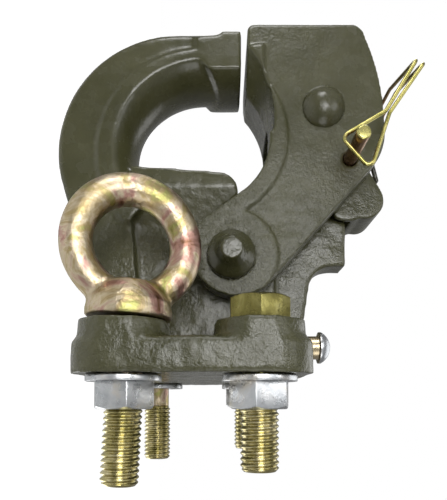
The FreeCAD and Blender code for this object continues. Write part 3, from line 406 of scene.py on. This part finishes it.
def relief(mesh, layers, zone=None):
    """Sink the surface by noise. Layers are (depth, wavelength)."""
    places = []
    for vertex in mesh.vertices:
        sink = 0
        for depth, wavelength in layers:
            sink += depth * (0.5 + 0.5 * noise.noise(vertex.co / wavelength + RELIEF_SHIFT))
        if zone is not None:
            sink *= zone(vertex.co)
        places.extend(vertex.co - vertex.normal * sink)
    mesh.vertices.foreach_set("co", places)
    mesh.update()


def crisp_copy(node, name, width, cut=None):
    """A machined piece with its edges broken."""
    bm = welded(node)
    if cut is not None:
        cut_at(bm, cut)
    bmesh.ops.dissolve_limit(bm, angle_limit=math.radians(FLAT_ANGLE), verts=bm.verts, edges=bm.edges)
    sharp = [
        edge for edge in bm.edges
        if len(edge.link_faces) == 2 and edge.calc_face_angle(0) > math.radians(EDGE_ANGLE)
    ]
    bmesh.ops.bevel(
        bm, geom=sharp, offset=width, segments=2, profile=0.6, affect="EDGES", clamp_overlap=True
    )
    mesh = to_mesh(bm, name)
    shade(mesh, SHARP_ANGLE)
    return mesh


def ring(bm, along, side, up, radii):
    """Points round an axis along X, one for each radius."""
    points = []
    for step, radius in enumerate(radii):
        angle = 2 * math.pi * step / len(radii)
        spot = (along, side + radius * math.cos(angle), up + radius * math.sin(angle))
        points.append(bm.verts.new(spot))
    return points


def skin(bm, rings):
    """Join rings of points by faces, and close both ends."""
    around = len(rings[0])
    faces = []
    for low, high in zip(rings, rings[1:]):
        for step in range(around):
            following = (step + 1) % around
            faces.append(bm.faces.new((low[step], low[following], high[following], high[step])))
    faces.append(bm.faces.new(rings[-1]))
    faces.append(bm.faces.new(rings[0][::-1]))
    bmesh.ops.recalc_face_normals(bm, faces=faces)


# Painted castings


def casting(node, name, material, voxel, rounds, layers, zone=None):
    mesh = soft_copy(welded(node), name, voxel, rounds)
    relief(mesh, layers, zone)
    shade(mesh)
    new_piece(name, mesh, node, material)


def rough_below(spot):
    """How much of the relief a place on the hook or the jaw shows."""
    return LEAST_ROUGH + min(1, max(0, (spot.x - ROUGH_START) / ROUGH_LENGTH)) * MORE_ROUGH


HOOK_RELIEF = [(0.00040, 0.010), (0.00026, 0.0032)]
JAW_RELIEF = [(0.00030, 0.010), (0.00018, 0.0028)]
casting("hook_body", "hook_casting", "body", 0.00090, 5, HOOK_RELIEF, rough_below)
casting("jaw", "jaw_casting", "jaw", 0.00058, 3, JAW_RELIEF, rough_below)
casting("latch", "latch_casting", "body", 0.00055, 3, [(0.0002, 0.006)])
casting("jaw_pivot_pin", "jaw_rivet", "pin", 0.00055, 4, [(0.0002, 0.006)])
casting("latch_pivot_pin", "latch_rivet", "pin", 0.0005, 3, [(0.00018, 0.006)])


# Threads and eye bolts


def thread_radius(done, left, angle):
    """The thread's radius, from how far it is from its start and its tip and the angle round it."""
    phase = (done / THREAD_PITCH - angle / (2 * math.pi)) % 1.0
    flank = min(1.0, max(0.0, (abs(phase - 0.5) * 2 - CREST_SHARE) / FLANK_SHARE))
    radius = THREAD_CREST - (THREAD_CREST - THREAD_ROOT) * flank
    return min(radius, THREAD_ROOT - TIP_STEP + left * TIP_SLOPE)


def thread_mesh(name, side, up, tip, turn=0.0):
    """A turned thread along X, with a broken edge at its tip."""
    start = THREAD_START - THREAD_LAP
    rows = int((tip - start) / THREAD_PITCH * ROWS_PER_PITCH)
    angles = [2 * math.pi * step / THREAD_AROUND + turn for step in range(THREAD_AROUND)]
    bm = bmesh.new()
    rings = []
    for row in range(rows + 1):
        along = start + (tip - start) * row / rows
        radii = [thread_radius(along - start, tip - along, angle) for angle in angles]
        rings.append(ring(bm, along, side, up, radii))
    skin(bm, rings)
    mesh = to_mesh(bm, name)
    shade(mesh, 50)
    return mesh


def add_collar(bm, side):
    """Add the collar that the eye ring grows out of."""
    rings = [ring(bm, -out, side, -STUD_UP, [radius] * COLLAR_AROUND) for out, radius in COLLAR]
    skin(bm, rings)


def blend_zone(spot):
    """Where the eye ring grows out of its collar."""
    return max(0, 1 - abs(spot.x - BLEND_MIDDLE) / BLEND_REACH)


def lean(mesh):
    """Lean the near eye bolt as it stands in its hole."""
    turn = Matrix.Rotation(LEAN, 4, "Y")
    mesh.transform(Matrix.Translation(LEAN_PIVOT + LEAN_LIFT) @ turn @ Matrix.Translation(-LEAN_PIVOT))


def eye_bolt(node, side, leaning):
    bm = welded(node)
    cut_at(bm, THREAD_START)
    add_collar(bm, side)
    forging = soft_copy(bm, node + "_head", 0.00050, 3)
    blend = ("SMOOTH", {"factor": 0.5, "iterations": BLEND_ROUNDS, "vertex_group": "zone"})
    forging = modified(forging, [blend], blend_zone)
    relief(forging, [(0.00012, 0.005)])
    shade(forging)
    stud = thread_mesh(node + "_thread", side, -STUD_UP, EYE_TIP)
    if leaning:
        lean(forging)
        lean(stud)
    new_piece(node + "_forging", forging, node, "eye")
    new_piece(node + "_thread", stud, node, "thread")


eye_bolt("eye_bolt_right", -STUD_SIDE, True)
eye_bolt("eye_bolt_left", STUD_SIDE, False)


# Hex bolts, nuts, washers, screw, safety pin, clip and spring


def hex_bolt(node, side):
    head = crisp_copy(node, node + "_head", HEX_EDGE, THREAD_START)
    stud = thread_mesh(node + "_thread", side, STUD_UP, HEX_TIP, HEX_THREAD_TURN)
    new_piece(node + "_head", head, node, "hex")
    new_piece(node + "_thread", stud, node, "thread")


def crisp_piece(node, name, width, material):
    new_piece(name, crisp_copy(node, name, width), node, material)


def plain_piece(node, name, angle, material):
    mesh = to_mesh(welded(node), name)
    shade(mesh, angle)
    new_piece(name, mesh, node, material)


hex_bolt("hex_bolt_right", -STUD_SIDE)
hex_bolt("hex_bolt_left", STUD_SIDE)

for node in bpy.data.objects.keys():
    if node.startswith("nut_"):
        crisp_piece(node, node + "_plated", NUT_EDGE, "silver")
    elif node.startswith("washer_"):
        crisp_piece(node, node + "_plated", WASHER_EDGE, "silver")

crisp_piece("side_screw", "screw_plated", SCREW_EDGE, "screw")
crisp_piece("safety_pin", "pin_plated", PIN_EDGE, "rod")
plain_piece("pin_clip", "clip_wire", 60, "clip")
plain_piece("latch_spring", "spring_wire", 50, "spring")


# Floor, lights and world

FLOOR_REACH, FLOOR_UP = 3.0, -0.40
FLOOR_GLOW = 0.80
AMBIENT = 0.30
ROOM_FRONT, ROOM_BACK = 0.55, 0.26

# Each light's name, place, size and power; all of them point at the part's middle
MIDDLE = Vector((-0.055, 0.0, 0.008))
LIGHTS = [
    ("front", (-0.12, -0.60, 0.10), 0.30, 2.1),
    ("key", (-0.60, -0.34, 0.02), 0.26, 1.3),
    ("fill", (-0.15, -0.42, 0.50), 0.36, 0.7),
    ("over", (-0.62, 0.28, 0.16), 0.35, 1.5),
    ("behind", (0.30, 0.30, -0.35), 0.32, 1.0),
    ("high", (0.00, 0.30, 0.60), 0.60, 1.4),
    ("under", (0.40, -0.30, 0.05), 0.30, 0.5),
]


def floor():
    """A pale floor that looks lit, to the camera only."""
    turns = ((-1, -1), (1, -1), (1, 1), (-1, 1))
    corners = [(x * FLOOR_REACH, y * FLOOR_REACH, FLOOR_UP) for x, y in turns]
    mesh = bpy.data.meshes.new("floor")
    mesh.from_pydata(corners, [], [(0, 1, 2, 3)])
    ground = place("floor", mesh)
    material, tree, shader, where = new_material("pale_floor")
    tint = ramp(tree, noise_at(tree, where, scale=3, detail=2), fade(FLOOR_GREY, FLOOR_WHITE))
    link(tree, tint, shader.inputs["Base Color"])
    shader.inputs["Roughness"].default_value = 0.9
    shader.inputs["Specular IOR Level"].default_value = 0.1
    shader.inputs["Emission Color"].default_value = (1, 1, 1, 1)
    seen = tree.nodes.new("ShaderNodeLightPath")
    glow = math_of(tree, "MULTIPLY", seen.outputs["Is Camera Ray"], FLOOR_GLOW)
    link(tree, glow, shader.inputs["Emission Strength"])
    mesh.materials.append(material)


def area_light(name, spot, size, power):
    lamp = bpy.data.lights.new(name, "AREA")
    lamp.shape = "DISK"
    lamp.size = size
    lamp.energy = power
    holder = place(name, lamp)
    holder.location = spot
    holder.rotation_euler = (MIDDLE - Vector(spot)).to_track_quat("-Z", "Y").to_euler()


def world():
    """White to the camera, darker towards the back in reflections, and dim for everything else."""
    sky = bpy.data.worlds.new("studio")
    sky.use_nodes = True
    tree = sky.node_tree
    background = tree.nodes["Background"]
    seen = tree.nodes.new("ShaderNodeLightPath")
    straight = math_of(tree, "MAXIMUM", seen.outputs["Is Camera Ray"], seen.outputs["Is Transmission Ray"])
    where = tree.nodes.new("ShaderNodeTexCoord").outputs["Generated"]
    room = spread(tree, along_axis(tree, where, "Y"), ROOM_FRONT, ROOM_BACK, start=-0.6, end=0.3)
    glossy = math_of(tree, "MULTIPLY", seen.outputs["Is Glossy Ray"], room)
    strength = math_of(tree, "MAXIMUM", math_of(tree, "MAXIMUM", straight, glossy), AMBIENT)
    link(tree, strength, background.inputs["Strength"])
    background.inputs["Color"].default_value = (1, 1, 1, 1)
    bpy.context.scene.world = sky


floor()
world()
for light in LIGHTS:
    area_light(*light)


# Camera: level with the studs, and almost square to the part's side

PHOTO_WIDE, PHOTO_HIGH = 447, 500
AXIS_U, AXIS_V = 223, 387
FOCAL_PIXELS = 508
CAMERA_SPOT = (0.009, -0.209, 0.0103)
TILT = math.radians(1.8)


def camera():
    """The photo's camera: its right is up as mounted, and its up is away from the studs."""
    lens = bpy.data.cameras.new("camera")
    lens.sensor_width = 36
    lens.sensor_fit = "AUTO"
    lens.lens = lens.sensor_width * FOCAL_PIXELS / PHOTO_HIGH
    lens.shift_x = (PHOTO_WIDE / 2 - AXIS_U) / PHOTO_HIGH
    lens.shift_y = (AXIS_V - PHOTO_HIGH / 2) / PHOTO_HIGH
    lens.clip_start = 0.01
    holder = place("camera", lens)
    right, up, back = Vector((0, 0, 1)), Vector((-1, 0, 0)), Vector((0, -1, 0))
    axes = Matrix((right, up, back)).transposed().to_4x4() @ Matrix.Rotation(TILT, 4, "X")
    holder.matrix_world = Matrix.Translation(CAMERA_SPOT) @ axes
    bpy.context.scene.camera = holder


camera()
bpy.context.scene.view_settings.view_transform = "Standard"
